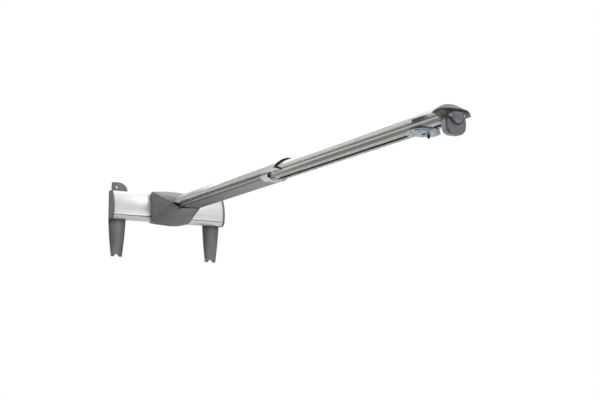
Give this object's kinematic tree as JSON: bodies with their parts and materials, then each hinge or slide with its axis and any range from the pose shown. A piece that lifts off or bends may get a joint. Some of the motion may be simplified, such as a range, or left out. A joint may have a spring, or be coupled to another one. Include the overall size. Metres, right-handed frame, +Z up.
{
  "type": "telescopic wall arm",
  "caption": "Telescopic wall arm: a cross rail on two wall brackets, a sliding hub, a two-section aluminium boom with a C-rail, an end cap and a swivelling carriage.",
  "frame": {"origin": "middle between the two upper wall-screw holes, on the wall plane the brackets stand on; the middle of the cross rail is 55 mm below it", "axes": "+X along the cross rail to the right-hand end seen from the arm's free end, +Y into the wall (the arm points along -Y), +Z up"},
  "size_m": [0.346, 1.4737, 0.211],
  "materials": {
    "anodised_rail": "satin anodised",
    "anodised_arm": "satin anodised, slightly warm",
    "mill_aluminium": "sawn and milled",
    "cast_grey": "grey powder coat on a die casting",
    "grey_plastic": "matte grey",
    "dark_plastic": "satin dark grey",
    "cap_plastic": "satin dark grey",
    "black_plastic": "matte black",
    "black_rubber": "matte black",
    "black_steel": "black oxide",
    "zinc_plate": "bright zinc plate with a blue tint"
  },
  "bodies": {
    "wall_frame": {"cross_rail": "anodised_rail", "rail_end_cap_left": "dark_plastic", "rail_end_cap_right": "dark_plastic", "rail_screws": "zinc_plate", "rail_slot_nuts": "zinc_plate", "wall_bracket_left": "cast_grey", "wall_bracket_right": "cast_grey"},
    "hub_and_outer_tube": {"hub_upper_casting": "cast_grey", "hub_lower_casting": "cast_grey", "hub_rail_liner": "black_plastic", "hub_cover_screws": "zinc_plate", "hub_lock_screws": "black_steel", "arm_root_block": "mill_aluminium", "arm_root_bolts": "zinc_plate", "arm_root_gasket": "black_rubber", "arm_base_profile": "anodised_arm", "base_under_cover": "grey_plastic", "base_foot_collar": "grey_plastic", "base_end_trim": "black_rubber", "base_clamp_plate": "zinc_plate", "base_clamp_screws": "zinc_plate", "base_glide_pads": "black_plastic"},
    "inner_tube": {"extension_profile": "anodised_arm", "extension_glide_pads": "black_plastic", "end_cap_shell": "cap_plastic", "end_cap_bib": "cap_plastic", "end_cap_plug": "cap_plastic", "end_cap_screws": "zinc_plate", "rail_end_stop": "zinc_plate"},
    "carriage": {"slide_nut_bar": "zinc_plate", "slide_plate": "zinc_plate", "slide_plate_screws": "zinc_plate", "swivel_pivot_bolt": "zinc_plate"},
    "swivel": {"swivel_plate": "zinc_plate", "swivel_bracket": "zinc_plate", "swivel_rivets": "zinc_plate"},
    "lock_screw_body": {"lock_screw": "black_steel"}
  },
  "joints": [
    {"name": "hub_slide", "type": "slide", "parent": "wall_frame", "child": "hub_and_outer_tube", "axis": [1, 0, 0], "range_m": [-0.055, 0.055]},
    {"name": "arm_extend", "type": "slide", "parent": "hub_and_outer_tube", "child": "inner_tube", "axis": [0, -1, 0], "range_m": [-0.2, 0.13]},
    {"name": "carriage_slide", "type": "slide", "parent": "inner_tube", "child": "carriage", "axis": [0, 1, 0], "range_m": [-0.03, 0.33]},
    {"name": "swivel_turn", "type": "hinge", "parent": "carriage", "child": "swivel", "pos_m": [0, -1.351, -0.077], "axis": [0, 0, 1], "range_deg": [-14, 14]},
    {"name": "lock_screw_turn", "type": "hinge", "parent": "carriage", "child": "lock_screw_body", "pos_m": [0, -1.365, -0.085], "axis": [0, 0, 1], "continuous": true}
  ]
}
